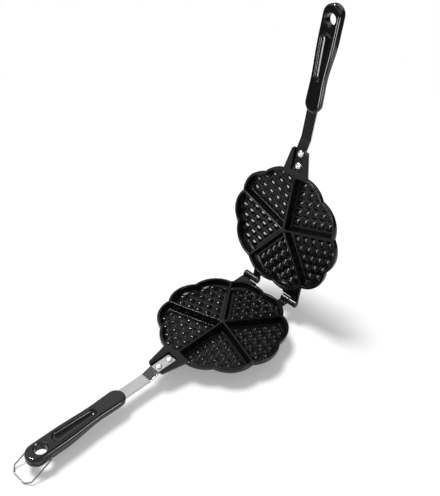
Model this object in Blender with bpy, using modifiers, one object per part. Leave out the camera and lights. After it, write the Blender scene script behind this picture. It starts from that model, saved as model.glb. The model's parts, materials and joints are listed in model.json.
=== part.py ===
# Stovetop waffle iron: two hinged, scalloped plates with five heart moulds each and long riveted handles.
# Metres, +Z up. The origin is the centre of the lower plate's base, the handles run to -Y, the hinge is at +Y.
# Each half is drawn with its baking side up and the closed iron's joint plane at z = 0, then put in place.
import math

import bmesh
import bpy
from mathutils import Matrix, Vector

# Clearances
FIT_GAP = 0.0003
PLATE_GAP = 0.0003
OVERRUN = 0.002

# Plate
HEARTS = 5
LOBE_TIP_RADIUS = 0.0982
NOTCH_SHARE = 0.9389
WALL_HEIGHT = 0.0075
UNDERSIDE_BEND = (0.004, 0.0106)
UNDERSIDE_HEEL = (0.008, 0.0142)
UNDERSIDE_INSET = 0.012
PLATE_DEPTH = 0.016
RIM_CHAMFER = 0.0005
RIM_LAND = 0.0042
MOULD_BEND = (0.006, 0.009)
MOULD_FLOOR_INSET = 0.009
CAVITY_DEPTH = 0.0123
DIVIDER_CREST_HALF_WIDTH = 0.0018
DIVIDER_ROOT_HALF_WIDTH = 0.0042

# Studs
STUDS_PER_DIVIDER = 6
STUD_HEIGHT = 0.004
STUD_TIP_SIDE = 0.003
STUD_GROOVE = 0.0008
STUD_ROOT = 0.0002

# Stand ring under each plate
BASE_HEIGHT = 0.0325
RING_TOP_RADIUS = 0.066
RING_BASE_RADIUS = 0.064
RING_WALL = 0.004
RING_ROOT = 0.001
HUB_RADIUS = 0.012
RIB_HALF_WIDTH = 0.00175
RECESS_CEILING = 0.0004

# Lug that carries the strap
LUG_ROOT_HALF_WIDTH = 0.024
LUG_REACH = 0.0363
LUG_END_HALF_WIDTH = 0.0152
LUG_CORNER_RADIUS = 0.0058
LUG_EDGE = 0.003
LUG_DEPTH = 0.0095
LUG_DRAFT = 0.0035
POCKET_HALF_WIDTH = 0.0097
POCKET_LENGTH = 0.035
POCKET_CORNER_RADIUS = 0.002

# Strap
STRAP_HALF_WIDTH = 0.0090
STRAP_THICKNESS = 0.003
STRAP_INLET = 0.0343
STRAP_DEPTH = 0.004
STRAP_FOLD_IN = 0.0003
STRAP_FOLD_RUN = 0.0152
TANG_DEPTH = 0.0087
TANG_REACH = 0.0395

# Rivets
RIVET_INSET = {"inner": 0.027, "outer": 0.0077}
RIVET_SHANK_RADIUS = 0.0024
RIVET_HEAD_RADIUS = 0.0050
RIVET_HEAD_HEIGHT = 0.0024
RIVET_DIMPLE_RADIUS = 0.0012
RIVET_DIMPLE_DEPTH = 0.0004
RIVET_TAIL_RADIUS = 0.0040
RIVET_TAIL_HEIGHT = 0.0014

# Grip
GRIP_NOSE_SETBACK = 0.055
GRIP_LENGTH = 0.1515
GRIP_FACE_DEPTH = 0.0048
GRIP_THICKNESS = 0.0145
GRIP_NOSE_THICKNESS = 0.0102
GRIP_TAIL_HALF_WIDTH = 0.0148
GRIP_WAIST_HALF_WIDTH = 0.0127
GRIP_NOSE_HALF_WIDTH = 0.0136
GRIP_WAIST_SETBACK = 0.0465
GRIP_SWELL_SETBACK = 0.1025
GRIP_EDGE_RADIUS = 0.004
HANG_HOLE_INSET = 0.021
HANG_HOLE_RADIUS = 0.0082
HANG_HOLE_BEVEL = 0.0018
GROOVE_FRONT_SETBACK = 0.052
GROOVE_FRONT_RADIUS = 0.006
GROOVE_REAR_SETBACK = 0.1035
GROOVE_REAR_RADIUS = 0.009
GROOVE_DEPTH = 0.0048

# Grip screw, put in from the outer face
SCREW_SETBACK = 0.0225
SCREW_RADIUS = 0.002
SCREW_HEAD_RADIUS = 0.0038
SCREW_HEAD_HEIGHT = 0.0015
SCREW_SINK = 0.0004
SCREW_SLOT_HALF_WIDTH = 0.0005
SCREW_SLOT_DEPTH = 0.0007
SCREW_BITE = 0.001

# Hinge
HINGE_STANDOFF = 0.0078
OPEN_ANGLE = math.radians(98.4)
STATION_X = 0.039
KNUCKLE_WIDTH = 0.0137
KNUCKLE_GAP = 0.0005
KNUCKLE_RADIUS = 0.0055
ARM_FACE_DEPTH = 0.001
ARM_DEPTH = 0.005
ARM_SIDE_STEP = 0.0003
ARM_NECK_SETBACK = 0.0066
ARM_SHOULDER = (0.0225, 0.0072)
ARM_INNER_ROOT = (0.0215, 0.021)
ARM_OUTER_ROOT_SETBACK = 0.034
PIN_RADIUS = 0.0023
PIN_HEAD_RADIUS = 0.0036
PIN_HEAD_HEIGHT = 0.0014

# Latch bail
WIRE_RADIUS = 0.0009
BAIL_PIVOT_INSET = 0.025
BAIL_REACH = 0.0427
BAIL_HALF_WIDTH = 0.0180
BAIL_CROSSBAR_HALF_WIDTH = 0.0108
BAIL_SHOULDER = 0.0068
BAIL_BEND_RADIUS = 0.0025
BAIL_HOLE_DEPTH = 0.0036
BAIL_HOLE_GAP = 0.0004

# Smoothness of the curves
LOBE_STEPS = 8
ARC_STEPS = 12
EDGE_STEPS = 4
SIDE_STEPS = 12
RING_SEGMENTS = 48
ROUND_SEGMENTS = 24
SMOOTH_ANGLE = math.radians(32)

PI = math.pi

# Places along the handle, from the plate's edge, the lug's end, the grip's nose and its tail
NOTCH_RADIUS = LOBE_TIP_RADIUS * NOTCH_SHARE
DIVIDER_LENGTH = NOTCH_RADIUS - RIM_LAND
LUG_ROOT_Y = -DIVIDER_LENGTH
LUG_END_Y = -LOBE_TIP_RADIUS - LUG_REACH
POCKET_END_Y = LUG_END_Y + POCKET_LENGTH
STRAP_START_Y = LUG_END_Y + STRAP_INLET
STRAP_FOLD_IN_Y = LUG_END_Y + STRAP_FOLD_IN
STRAP_FOLD_OUT_Y = STRAP_FOLD_IN_Y - STRAP_FOLD_RUN
RIVET_Y = {place: LUG_END_Y + inset for place, inset in RIVET_INSET.items()}
GRIP_NOSE_Y = LUG_END_Y - GRIP_NOSE_SETBACK
GRIP_TAIL_Y = GRIP_NOSE_Y - GRIP_LENGTH
GRIP_WAIST_Y = GRIP_NOSE_Y - GRIP_WAIST_SETBACK
GRIP_SWELL_Y = GRIP_NOSE_Y - GRIP_SWELL_SETBACK
TANG_END_Y = GRIP_NOSE_Y - TANG_REACH
SCREW_Y = GRIP_NOSE_Y - SCREW_SETBACK
GROOVE_FRONT_Y = GRIP_NOSE_Y - GROOVE_FRONT_SETBACK
GROOVE_REAR_Y = GRIP_NOSE_Y - GROOVE_REAR_SETBACK
HANG_HOLE_Y = GRIP_TAIL_Y + HANG_HOLE_INSET
BAIL_PIVOT_Y = GRIP_TAIL_Y + BAIL_PIVOT_INSET

# Places at the hinge, from the plate's edge and the pins' axis
HINGE_Y = LOBE_TIP_RADIUS + HINGE_STANDOFF
ARM_NECK_Y = HINGE_Y - ARM_NECK_SETBACK
ARM_OUTER_ROOT_Y = HINGE_Y - ARM_OUTER_ROOT_SETBACK


def clear_scene():
    for old in list(bpy.data.objects):
        bpy.data.objects.remove(old)


def new_collection(name):
    group = bpy.data.collections.new(name)
    bpy.context.scene.collection.children.link(group)
    return group


def material(name, colour, roughness, metallic):
    made = bpy.data.materials.new(name)
    made.use_nodes = True
    made.diffuse_color = (*colour, 1)
    shader = made.node_tree.nodes["Principled BSDF"]
    shader.inputs["Base Color"].default_value = (*colour, 1)
    shader.inputs["Roughness"].default_value = roughness
    shader.inputs["Metallic"].default_value = metallic
    return made


def direction(angle):
    return Vector((math.cos(angle), math.sin(angle)))


def ring(outline, z):
    return [Vector((point[0], point[1], z)) for point in outline]


def mesh_object(name, shape):
    bmesh.ops.recalc_face_normals(shape, faces=shape.faces)
    mesh = bpy.data.meshes.new(name)
    shape.to_mesh(mesh)
    shape.free()
    made = bpy.data.objects.new(name, mesh)
    PARTS.objects.link(made)
    return made


def add_loft(shape, rings):
    # Joins rings of equally many points with sides, and closes both ends.
    rows = [[shape.verts.new(point) for point in points] for points in rings]
    count = len(rows[0])
    for low, high in zip(rows, rows[1:]):
        for i in range(count):
            j = (i + 1) % count
            shape.faces.new((low[i], low[j], high[j], high[i]))
    shape.faces.new(rows[0])
    shape.faces.new(rows[-1])


def lofts(name, ring_lists):
    shape = bmesh.new()
    for rings in ring_lists:
        add_loft(shape, rings)
    return mesh_object(name, shape)


def turned(name, profile, phase=0):
    # The profile holds (radius, height) pairs from the top of the axis down its outer side to the bottom.
    shape = bmesh.new()
    points = [shape.verts.new((*radius * direction(phase), height)) for radius, height in profile]
    for first, second in zip(points, points[1:]):
        shape.edges.new((first, second))
    mesh = bpy.data.meshes.new(name)
    shape.to_mesh(mesh)
    shape.free()
    made = bpy.data.objects.new(name, mesh)
    PARTS.objects.link(made)
    screw = made.modifiers.new("turn", "SCREW")
    screw.steps = screw.render_steps = ROUND_SEGMENTS
    screw.use_merge_vertices = True
    screw.merge_threshold = FIT_GAP / ROUND_SEGMENTS
    return made


def boolean(target, tool, operation):
    step = target.modifiers.new(f"{operation.lower()} {tool.name}", "BOOLEAN")
    step.operation = operation
    step.solver = "EXACT"
    step.object = tool
    PARTS.objects.unlink(tool)
    CUTTERS.objects.link(tool)
    tool.hide_render = True
    tool.display_type = "WIRE"
    tool.parent = target


def cut(target, tool):
    boolean(target, tool, "DIFFERENCE")


def join(target, tool):
    boolean(target, tool, "UNION")


def finish(made, look, frame):
    made.parent = frame
    made.data.materials.clear()
    made.data.materials.append(look)
    made.data.shade_smooth()
    made.data.set_sharp_from_angle(angle=SMOOTH_ANGLE)
    return made


def arc(centre, radius, start, end, steps):
    turn = end - start
    return [Vector(centre) + radius * direction(start + turn * i / steps) for i in range(steps + 1)]


def mirrored(half):
    return half + [Vector((-point.x, point.y)) for point in reversed(half)]


# Plate outline: ten equal round lobes, two to each heart
LOBES = 2 * HEARTS
HALF_LOBE = PI / LOBES
HALF_HEART = PI / HEARTS
NOTCH_ALONG = NOTCH_RADIUS * math.cos(HALF_LOBE)
LOBE_CENTRE = (LOBE_TIP_RADIUS**2 - NOTCH_RADIUS**2) / (2 * (LOBE_TIP_RADIUS - NOTCH_ALONG))
LOBE_RADIUS = LOBE_TIP_RADIUS - LOBE_CENTRE
FIRST_DIVIDER = -PI / 2


def lobe_span(inset):
    # Half the angle that one lobe's arc turns through, seen from the lobe's own centre.
    radius = LOBE_RADIUS - inset
    side = LOBE_CENTRE * math.sin(HALF_LOBE)
    return HALF_LOBE + math.asin(side / radius)


def lobe_arc(middle, inset, start, end, steps):
    return arc(LOBE_CENTRE * direction(middle), LOBE_RADIUS - inset, middle + start, middle + end, steps)


def scalloped_outline(inset):
    points = []
    for lobe in range(LOBES):
        middle = FIRST_DIVIDER + HALF_LOBE * (2 * lobe + 1)
        span = lobe_span(inset)
        points += lobe_arc(middle, inset, -span, span, LOBE_STEPS)[:-1]
    return points


def heart_outline(middle, inset, half_width):
    # A sector between two dividers, closed by two lobes: tip, right lobe, notch, left lobe.
    lobe = middle - HALF_LOBE
    radius = LOBE_RADIUS - inset
    offset = LOBE_CENTRE * math.sin(HALF_LOBE) - half_width
    start = -HALF_LOBE - math.asin(offset / radius)
    right = lobe_arc(lobe, inset, start, lobe_span(inset), LOBE_STEPS)
    along, across = direction(middle), direction(middle + PI / 2)
    tip = along * (half_width / math.sin(HALF_HEART))
    left = [point - 2 * across * point.dot(across) for point in reversed(right[:-1])]
    return [tip] + right + left


def heart_middles():
    return [FIRST_DIVIDER + HALF_HEART * (2 * heart + 1) for heart in range(HEARTS)]


def plate_blank():
    face = -PLATE_GAP / 2
    levels = (
        (RIM_CHAMFER, face),
        (0, face - RIM_CHAMFER),
        (0, -WALL_HEIGHT),
        (UNDERSIDE_BEND[0], -UNDERSIDE_BEND[1]),
        (UNDERSIDE_HEEL[0], -UNDERSIDE_HEEL[1]),
        (UNDERSIDE_INSET, -PLATE_DEPTH),
    )
    return [ring(scalloped_outline(inset), z) for inset, z in levels]


def heart_moulds(name):
    widening = (DIVIDER_ROOT_HALF_WIDTH - DIVIDER_CREST_HALF_WIDTH) / CAVITY_DEPTH
    moulds = []
    for middle in heart_middles():
        crest = heart_outline(middle, RIM_LAND, DIVIDER_CREST_HALF_WIDTH)
        bend_width = DIVIDER_CREST_HALF_WIDTH + widening * MOULD_BEND[1]
        bend = heart_outline(middle, MOULD_BEND[0], bend_width)
        floor = heart_outline(middle, MOULD_FLOOR_INSET, DIVIDER_ROOT_HALF_WIDTH)
        rings = [ring(crest, OVERRUN), ring(crest, -PLATE_GAP / 2)]
        moulds.append(rings + [ring(bend, -MOULD_BEND[1]), ring(floor, -CAVITY_DEPTH)])
    return lofts(name, moulds)


def rhombus(centre, first, second, side, z):
    a, b = first * side / 2, second * side / 2
    return ring([centre - a - b, centre + a - b, centre + a + b, centre - a + b], z)


def stud_root_side(base):
    # The sides run straight on into the floor.
    return base + (base - STUD_TIP_SIDE) * STUD_ROOT / STUD_HEIGHT


def studs(name):
    # A lattice along each heart's two dividers, with six steps to a divider's length.
    pitch = DIVIDER_LENGTH / STUDS_PER_DIVIDER
    base = pitch - STUD_GROOVE
    pieces = []
    for middle in heart_middles():
        first, second = direction(middle - HALF_HEART), direction(middle + HALF_HEART)
        for i in range(1, STUDS_PER_DIVIDER):
            for j in range(1, min(STUDS_PER_DIVIDER, STUDS_PER_DIVIDER + 2 - i)):
                centre = pitch * (i * first + j * second)
                pieces.append([
                    rhombus(centre, first, second, stud_root_side(base), -CAVITY_DEPTH - STUD_ROOT),
                    rhombus(centre, first, second, STUD_TIP_SIDE, STUD_HEIGHT - CAVITY_DEPTH),
                ])
    return lofts(name, pieces)


def stand_ring(name):
    top = ring(arc((0, 0), RING_TOP_RADIUS, 0, 2 * PI, RING_SEGMENTS)[:-1], RING_ROOT - PLATE_DEPTH)
    base = ring(arc((0, 0), RING_BASE_RADIUS, 0, 2 * PI, RING_SEGMENTS)[:-1], -BASE_HEIGHT)
    return lofts(name, [[top, base]])


def stand_recesses(name):
    # Five hollows that leave the ring, the hub and a rib under each divider.
    inner, outer = HUB_RADIUS, RING_BASE_RADIUS - RING_WALL
    hollows = []
    for middle in heart_middles():
        half_in = HALF_HEART - math.asin(RIB_HALF_WIDTH / inner)
        half_out = HALF_HEART - math.asin(RIB_HALF_WIDTH / outer)
        outline = arc((0, 0), inner, middle + half_in, middle - half_in, ARC_STEPS // 2)
        outline += arc((0, 0), outer, middle - half_out, middle + half_out, ARC_STEPS)
        hollows.append([ring(outline, -BASE_HEIGHT - OVERRUN), ring(outline, -PLATE_DEPTH - RECESS_CEILING)])
    return lofts(name, hollows)


def lug_outline(inset):
    slope = math.atan2(LUG_ROOT_HALF_WIDTH - LUG_END_HALF_WIDTH, LUG_ROOT_Y - LUG_END_Y)
    centre = (LUG_END_HALF_WIDTH - LUG_CORNER_RADIUS, LUG_END_Y + LUG_CORNER_RADIUS)
    corner = arc(centre, LUG_CORNER_RADIUS - inset, -slope, -PI / 2, EDGE_STEPS)
    return mirrored([Vector((LUG_ROOT_HALF_WIDTH - inset, LUG_ROOT_Y))] + corner)


def lug(name):
    face = -PLATE_GAP / 2
    levels = ((RIM_CHAMFER, face), (0, face - RIM_CHAMFER), (0, -LUG_EDGE), (LUG_DRAFT, -LUG_DEPTH))
    return lofts(name, [[ring(lug_outline(inset), z) for inset, z in levels]])


def pocket(name):
    floor = -STRAP_DEPTH - STRAP_THICKNESS - FIT_GAP
    centre = (POCKET_HALF_WIDTH - POCKET_CORNER_RADIUS, POCKET_END_Y - POCKET_CORNER_RADIUS)
    corner = arc(centre, POCKET_CORNER_RADIUS, PI / 2, 0, EDGE_STEPS)
    outline = mirrored(corner + [Vector((POCKET_HALF_WIDTH, LUG_END_Y - OVERRUN))])
    return lofts(name, [[ring(outline, floor), ring(outline, OVERRUN)]])


def cylinder(name, radius, low, high, phase=PI / ROUND_SEGMENTS):
    return turned(name, [(0, high), (radius, high), (radius, low), (0, low)], phase)


def place_along_x(made, start_x, y, z, side=1):
    made.location = (start_x, y, z)
    made.rotation_euler.y = side * PI / 2


def pair_starts():
    # Where the left and the right pair of knuckles begin.
    half_pair = KNUCKLE_GAP / 2 + KNUCKLE_WIDTH
    return (-STATION_X - half_pair, STATION_X - half_pair)


def hinge_arm(name, side):
    # The casting's own knuckle is the outer one of its pair on the left, where the web spans the pair,
    # and the inner one on the right.
    inner = STATION_X - KNUCKLE_GAP / 2 - KNUCKLE_WIDTH + ARM_SIDE_STEP
    outer = STATION_X + KNUCKLE_GAP / 2 + KNUCKLE_WIDTH - ARM_SIDE_STEP
    neck = KNUCKLE_WIDTH - 2 * ARM_SIDE_STEP
    start = outer - neck if side < 0 else inner
    tongue = [(start, ARM_NECK_Y), (start, HINGE_Y), (start + neck, HINGE_Y), (start + neck, ARM_NECK_Y)]
    roots = [ARM_INNER_ROOT, ARM_SHOULDER] if side < 0 else [ARM_INNER_ROOT]
    web = [(x, HINGE_Y - setback) for x, setback in roots]
    outline = [(side * x, y) for x, y in [*web, *tongue, (start + neck, ARM_OUTER_ROOT_Y)]]
    return lofts(name, [[ring(outline, -ARM_DEPTH), ring(outline, -ARM_FACE_DEPTH)]])


def plate(name, look, frame):
    made = lofts(name, [plate_blank()])
    join(made, stand_ring(f"{name} stand ring"))
    join(made, lug(f"{name} lug"))
    for side, sign, start_x in zip(("left", "right"), (-1, 1), pair_starts()):
        join(made, hinge_arm(f"{name} {side} arm", sign))
        knuckle = cylinder(f"{name} {side} knuckle", KNUCKLE_RADIUS, 0, KNUCKLE_WIDTH, 0)
        place_along_x(knuckle, start_x, HINGE_Y, 0)
        join(made, knuckle)
    for side, start_x in zip(("left", "right"), pair_starts()):
        bore = cylinder(f"{name} {side} bore", PIN_RADIUS + FIT_GAP, -OVERRUN, KNUCKLE_WIDTH + OVERRUN)
        place_along_x(bore, start_x, HINGE_Y, 0)
        cut(made, bore)
    moulds = heart_moulds(f"{name} moulds")
    cut(moulds, studs(f"{name} studs"))
    cut(made, moulds)
    cut(made, stand_recesses(f"{name} recesses"))
    cut(made, pocket(f"{name} pocket"))
    for place, y in RIVET_Y.items():
        hole = cylinder(f"{name} {place} rivet hole", RIVET_SHANK_RADIUS + FIT_GAP, -LUG_DEPTH - OVERRUN, 0)
        hole.location.y = y
        cut(made, hole)
    return finish(made, look, frame)


def strap(name, look, frame):
    # The side view, as (y, depth of the inner face), given thickness towards the outer side.
    path = (
        (STRAP_START_Y, STRAP_DEPTH),
        (STRAP_FOLD_IN_Y, STRAP_DEPTH),
        (STRAP_FOLD_OUT_Y, TANG_DEPTH),
        (TANG_END_Y, TANG_DEPTH),
    )
    inner = [Vector((y, -depth)) for y, depth in path]
    outer = [point - Vector((0, STRAP_THICKNESS)) for point in reversed(inner)]
    side = inner + outer
    left = [Vector((-STRAP_HALF_WIDTH, *point)) for point in side]
    right = [Vector((STRAP_HALF_WIDTH, *point)) for point in side]
    made = lofts(name, [[left, right]])
    for place, y in RIVET_Y.items():
        hole = cylinder(f"{name} {place} rivet hole", RIVET_SHANK_RADIUS + FIT_GAP, -LUG_DEPTH, 0)
        hole.location.y = y
        cut(made, hole)
    low, high = -TANG_DEPTH - STRAP_THICKNESS - OVERRUN, OVERRUN - TANG_DEPTH
    hole = cylinder(f"{name} screw hole", SCREW_RADIUS + FIT_GAP, low, high)
    hole.location.y = SCREW_Y
    cut(made, hole)
    return finish(made, look, frame)


def rivet(name, y, look, frame):
    seat = FIT_GAP - STRAP_DEPTH
    tail = -LUG_DEPTH - FIT_GAP
    top = seat + RIVET_HEAD_HEIGHT
    profile = [(0, top - RIVET_DIMPLE_DEPTH), (RIVET_DIMPLE_RADIUS, top)]
    for i in range(1, EDGE_STEPS + 1):
        turn = PI / 2 * i / EDGE_STEPS
        reach = RIVET_DIMPLE_RADIUS + (RIVET_HEAD_RADIUS - RIVET_DIMPLE_RADIUS) * math.sin(turn)
        profile.append((reach, seat + RIVET_HEAD_HEIGHT * math.cos(turn)))
    profile += [
        (RIVET_SHANK_RADIUS, seat),
        (RIVET_SHANK_RADIUS, tail),
        (RIVET_TAIL_RADIUS, tail),
        (RIVET_SHANK_RADIUS, tail - RIVET_TAIL_HEIGHT),
        (0, tail - RIVET_TAIL_HEIGHT),
    ]
    made = turned(name, profile)
    made.location.y = y
    return finish(made, look, frame)


def ease(share):
    return share * share * (3 - 2 * share)


def waist_share(y):
    return ease(min(1, max(0, (y - GRIP_SWELL_Y) / (GRIP_WAIST_Y - GRIP_SWELL_Y))))


def grip_back(y):
    thickness = GRIP_THICKNESS + waist_share(y) * (GRIP_NOSE_THICKNESS - GRIP_THICKNESS)
    return -GRIP_FACE_DEPTH - thickness


def grip_half_width(y):
    if y < GRIP_WAIST_Y:
        return GRIP_TAIL_HALF_WIDTH + waist_share(y) * (GRIP_WAIST_HALF_WIDTH - GRIP_TAIL_HALF_WIDTH)
    nose = GRIP_NOSE_Y - GRIP_NOSE_HALF_WIDTH
    share = ease(min(1, (y - GRIP_WAIST_Y) / (nose - GRIP_WAIST_Y)))
    return GRIP_WAIST_HALF_WIDTH + share * (GRIP_NOSE_HALF_WIDTH - GRIP_WAIST_HALF_WIDTH)


def grip_outline(inset):
    tail = GRIP_TAIL_Y + GRIP_TAIL_HALF_WIDTH
    nose = GRIP_NOSE_Y - GRIP_NOSE_HALF_WIDTH
    half = arc((0, tail), GRIP_TAIL_HALF_WIDTH - inset, -PI / 2, 0, ARC_STEPS // 2)[1:]
    for i in range(1, SIDE_STEPS):
        y = tail + (nose - tail) * i / SIDE_STEPS
        half.append(Vector((grip_half_width(y) - inset, y)))
    half += arc((0, nose), GRIP_NOSE_HALF_WIDTH - inset, 0, PI / 2, ARC_STEPS // 2)[:-1]
    tip = Vector((0, GRIP_NOSE_Y - inset))
    end = Vector((0, GRIP_TAIL_Y + inset))
    return [end] + half + [tip] + [Vector((-point.x, point.y)) for point in reversed(half)]


def grip_blank():
    front, rear = [], []
    for i in range(EDGE_STEPS + 1):
        turn = PI / 2 * i / EDGE_STEPS
        drop = GRIP_EDGE_RADIUS * (1 - math.cos(turn))
        outline = grip_outline(GRIP_EDGE_RADIUS * (1 - math.sin(turn)))
        front.append(ring(outline, -GRIP_FACE_DEPTH - drop))
        rear.append([Vector((point.x, point.y, grip_back(point.y) + drop)) for point in outline])
    return front + rear[::-1]


def groove_outline(inset):
    # Two circles of unlike size and their common tangents.
    run = GROOVE_FRONT_Y - GROOVE_REAR_Y
    lean = math.asin((GROOVE_REAR_RADIUS - GROOVE_FRONT_RADIUS) / run)
    rear = arc((0, GROOVE_REAR_Y), GROOVE_REAR_RADIUS - inset, -PI - lean, lean, ARC_STEPS)
    front = arc((0, GROOVE_FRONT_Y), GROOVE_FRONT_RADIUS - inset, lean, PI - lean, ARC_STEPS)
    return rear + front


def groove(name):
    levels = [(0, OVERRUN - GRIP_FACE_DEPTH)]
    for i in range(EDGE_STEPS):
        turn = PI / 2 * i / EDGE_STEPS
        levels.append((GROOVE_DEPTH * (1 - math.cos(turn)), -GRIP_FACE_DEPTH - GROOVE_DEPTH * math.sin(turn)))
    return lofts(name, [[ring(groove_outline(inset), z) for inset, z in levels]])


def hanging_hole(name):
    face, back = -GRIP_FACE_DEPTH, grip_back(HANG_HOLE_Y)
    wide = HANG_HOLE_RADIUS + HANG_HOLE_BEVEL
    made = turned(name, [
        (0, face + OVERRUN),
        (wide, face + OVERRUN),
        (wide, face),
        (HANG_HOLE_RADIUS, face - HANG_HOLE_BEVEL),
        (HANG_HOLE_RADIUS, back + HANG_HOLE_BEVEL),
        (wide, back),
        (wide, back - OVERRUN),
        (0, back - OVERRUN),
    ])
    made.location.y = HANG_HOLE_Y
    return made


def tang_slot(name):
    width = STRAP_HALF_WIDTH + FIT_GAP
    outline = [(-width, TANG_END_Y - FIT_GAP), (width, TANG_END_Y - FIT_GAP)]
    outline += [(width, GRIP_NOSE_Y + OVERRUN), (-width, GRIP_NOSE_Y + OVERRUN)]
    low, high = -TANG_DEPTH - STRAP_THICKNESS - FIT_GAP, FIT_GAP - TANG_DEPTH
    return lofts(name, [[ring(outline, low), ring(outline, high)]])


def screw_levels():
    # Heights of the screw: bottom of its head, seat of its head and end of its shank.
    bottom = grip_back(SCREW_Y) + SCREW_SINK
    return bottom, bottom + SCREW_HEAD_HEIGHT, FIT_GAP - TANG_DEPTH + SCREW_BITE


def screw_hole(name):
    bottom, seat, end = screw_levels()
    wide = SCREW_HEAD_RADIUS + FIT_GAP
    narrow = SCREW_RADIUS + FIT_GAP
    made = turned(name, [
        (0, end + FIT_GAP),
        (narrow, end + FIT_GAP),
        (narrow, seat + FIT_GAP),
        (wide, seat + FIT_GAP),
        (wide, bottom - SCREW_SINK - OVERRUN),
        (0, bottom - SCREW_SINK - OVERRUN),
    ])
    made.location.y = SCREW_Y
    return made


def grip(name, look, frame):
    made = lofts(name, [grip_blank()])
    cut(made, groove(f"{name} groove"))
    cut(made, hanging_hole(f"{name} hanging hole"))
    cut(made, tang_slot(f"{name} tang slot"))
    cut(made, screw_hole(f"{name} screw hole"))
    return finish(made, look, frame)


def bail_depth():
    return GRIP_FACE_DEPTH + GRIP_THICKNESS / 2


def cut_bail_holes(made):
    start = GRIP_TAIL_HALF_WIDTH - BAIL_HOLE_DEPTH
    for side in (-1, 1):
        hole = cylinder(f"{made.name} bail hole {side}", WIRE_RADIUS + BAIL_HOLE_GAP, start, BAIL_HALF_WIDTH)
        place_along_x(hole, 0, BAIL_PIVOT_Y, -bail_depth(), side)
        cut(made, hole)


def grip_screw(name, look, frame):
    bottom, seat, end = screw_levels()
    made = turned(name, [
        (0, end),
        (SCREW_RADIUS, end),
        (SCREW_RADIUS, seat),
        (SCREW_HEAD_RADIUS, seat),
        (SCREW_HEAD_RADIUS, bottom),
        (0, bottom),
    ])
    width = SCREW_HEAD_RADIUS + OVERRUN
    corners = [(-width, -SCREW_SLOT_HALF_WIDTH), (width, -SCREW_SLOT_HALF_WIDTH)]
    outline = corners + [(-x, -y) for x, y in corners]
    slot = lofts(f"{name} slot", [[ring(outline, bottom - OVERRUN), ring(outline, bottom + SCREW_SLOT_DEPTH)]])
    made.location.y = SCREW_Y
    cut(made, slot)
    return finish(made, look, frame)


def hinge_pin(name, start_x, look, frame):
    # The knuckle pair starts at start_x, and the pin's two heads stand just outside it.
    span = 2 * KNUCKLE_WIDTH + KNUCKLE_GAP
    low, high = -FIT_GAP, span + FIT_GAP
    made = turned(name, [
        (0, high + PIN_HEAD_HEIGHT),
        (PIN_RADIUS, high + PIN_HEAD_HEIGHT),
        (PIN_HEAD_RADIUS, high + PIN_HEAD_HEIGHT / 2),
        (PIN_HEAD_RADIUS, high),
        (PIN_RADIUS, high),
        (PIN_RADIUS, low),
        (PIN_HEAD_RADIUS, low),
        (PIN_HEAD_RADIUS, low - PIN_HEAD_HEIGHT / 2),
        (PIN_RADIUS, low - PIN_HEAD_HEIGHT),
        (0, low - PIN_HEAD_HEIGHT),
    ])
    place_along_x(made, start_x, HINGE_Y, 0)
    return finish(made, look, frame)


def bent_path(corners, radius):
    # Replaces each inner corner by an arc that touches both of its runs.
    points = [corners[0]]
    for before, corner, after in zip(corners, corners[1:], corners[2:]):
        back, ahead = (before - corner).normalized(), (after - corner).normalized()
        half = back.angle(ahead) / 2
        centre = corner + (back + ahead).normalized() * radius / math.sin(half)
        first = corner + back * radius / math.tan(half)
        sweep = PI - 2 * half
        normal = ahead.cross(back).normalized()
        for i in range(EDGE_STEPS + 1):
            turn = Matrix.Rotation(sweep * i / EDGE_STEPS, 3, normal)
            points.append(centre + turn @ (first - centre))
    return points + [corners[-1]]


def bail(name, look, frame):
    shoulder = BAIL_REACH - BAIL_SHOULDER
    tip = GRIP_TAIL_HALF_WIDTH - BAIL_HOLE_DEPTH + BAIL_HOLE_GAP
    half = [(tip, 0), (BAIL_HALF_WIDTH, 0), (BAIL_HALF_WIDTH, -shoulder), (BAIL_CROSSBAR_HALF_WIDTH, -BAIL_REACH)]
    corners = [Vector((x, y, 0)) for x, y in half]
    corners += [Vector((-x, y, 0)) for x, y in reversed(half)]
    points = bent_path(corners, BAIL_BEND_RADIUS)
    wire = bpy.data.curves.new(name, "CURVE")
    wire.dimensions = "3D"
    wire.bevel_depth = WIRE_RADIUS
    wire.bevel_resolution = 2
    wire.use_fill_caps = True
    spline = wire.splines.new("POLY")
    spline.points.add(len(points) - 1)
    for point, place in zip(spline.points, points):
        point.co = (*place, 1)
    made = bpy.data.objects.new(name, wire)
    PARTS.objects.link(made)
    made.parent = frame
    wire.materials.append(look)
    return made


def empty(name, parent, location):
    made = bpy.data.objects.new(name, None)
    PARTS.objects.link(made)
    made.parent = parent
    made.location = location
    return made


def half(prefix, looks, frame):
    plate(f"{prefix}_plate", looks["coating"], frame)
    strap(f"{prefix}_strap", looks["steel"], frame)
    for place, y in RIVET_Y.items():
        rivet(f"{prefix}_rivet_{place}", y, looks["rivet"], frame)
    grip_screw(f"{prefix}_grip_screw", looks["screw"], frame)
    return grip(f"{prefix}_grip", looks["grip"], frame)


clear_scene()
PARTS = new_collection("stovetop_waffle_iron")
CUTTERS = new_collection("cutters")
LOOKS = {
    "coating": material("black_coating", (0.018, 0.018, 0.017), 0.42, 0.2),
    "steel": material("strap_steel", (0.62, 0.62, 0.60), 0.22, 1),
    "rivet": material("rivet_steel", (0.75, 0.75, 0.74), 0.25, 1),
    "screw": material("screw_steel", (0.55, 0.55, 0.54), 0.35, 1),
    "grip": material("black_phenolic", (0.012, 0.012, 0.012), 0.16, 0),
    "pin": material("pin_steel", (0.60, 0.60, 0.58), 0.30, 1),
    "wire": material("bail_wire", (0.50, 0.50, 0.50), 0.30, 1),
}

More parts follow.
